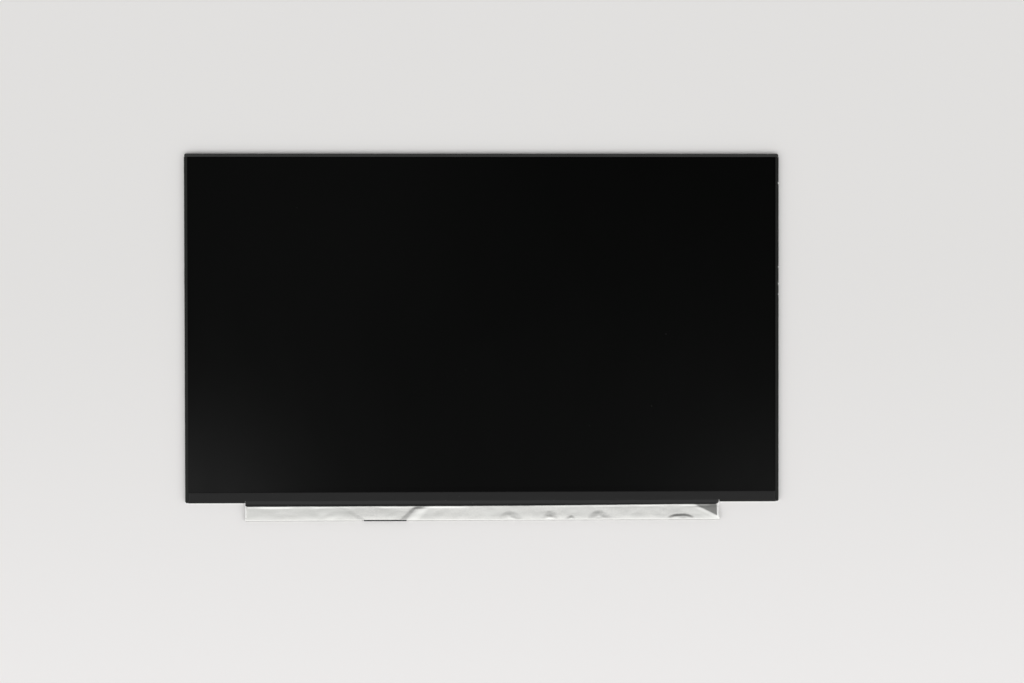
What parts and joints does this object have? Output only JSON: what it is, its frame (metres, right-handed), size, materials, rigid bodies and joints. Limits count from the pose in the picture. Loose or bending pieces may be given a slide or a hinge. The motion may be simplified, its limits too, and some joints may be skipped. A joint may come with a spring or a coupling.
{
  "type": "laptop screen panel",
  "caption": "Thin flat liquid-crystal screen module with a matt black face, dark tape borders and a silver-wrapped driver board along its lower edge, for a laptop lid.",
  "frame": {"origin": "middle of the rear cover's flat back, under the centre of the outline without the driver board", "axes": "+X to the right and +Y up the screen as seen from the front, +Z out of the screen; the panel lies on its back with the back on z = 0"},
  "size_m": [0.3506, 0.2169, 0.0026],
  "materials": {
    "screen_film": "matt anti-glare, near black",
    "inner_film": "dark film",
    "cell_glass": "thin polished glass",
    "edge_tape": "dark grey, slightly wrinkled",
    "bond_tape": "black adhesive film",
    "frame_plastic": "white moulded",
    "optical_film": "translucent white",
    "guide_plastic": "clear moulded",
    "reflector_film": "white",
    "flex_white": "white coverlay",
    "led_body": "white body with yellow phosphor",
    "cover_metal": "stamped, fine brushed",
    "board": "green solder mask",
    "flex_amber": "amber film with copper traces",
    "chip_black": "moulded black",
    "ferrite": "sintered dark grey",
    "capacitor": "tan with tinned ends",
    "resistor": "black glaze with tinned ends",
    "connector_plastic": "moulded black",
    "contact_gold": "gold plated",
    "shell_steel": "stamped",
    "wrap_film": "aluminised film, creased"
  },
  "bodies": {
    "root": {"array_glass": "cell_glass", "backlight_driver": "chip_black", "board_wrap_film": "wrap_film", "boost_inductor_1": "ferrite", "boost_inductor_2": "ferrite", "bottom_cover_tape": "edge_tape", "cell_bonding_tape": "bond_tape", "ceramic_capacitors": "capacitor", "chip_resistors": "resistor", "colour_filter_glass": "cell_glass", "diffuser_sheet": "optical_film", "driver_board": "board", "front_polarizer": "screen_film", "led_packages": "led_body", "led_strip_flex": "flex_white", "left_edge_tape": "edge_tape", "light_guide": "guide_plastic", "lower_prism_sheet": "optical_film", "mould_frame": "frame_plastic", "power_chip": "chip_black", "rear_cover": "cover_metal", "rear_polarizer": "inner_film", "reflector_sheet": "reflector_film", "right_edge_tape": "edge_tape", "source_driver_1": "chip_black", "source_driver_2": "chip_black", "source_driver_3": "chip_black", "source_driver_4": "chip_black", "source_flex_1": "flex_amber", "source_flex_2": "flex_amber", "source_flex_3": "flex_amber", "source_flex_4": "flex_amber", "timing_controller": "chip_black", "top_edge_tape": "edge_tape", "upper_prism_sheet": "optical_film", "video_connector_contacts": "contact_gold", "video_connector_housing": "connector_plastic", "video_connector_shell": "shell_steel"}
  },
  "joints": []
}
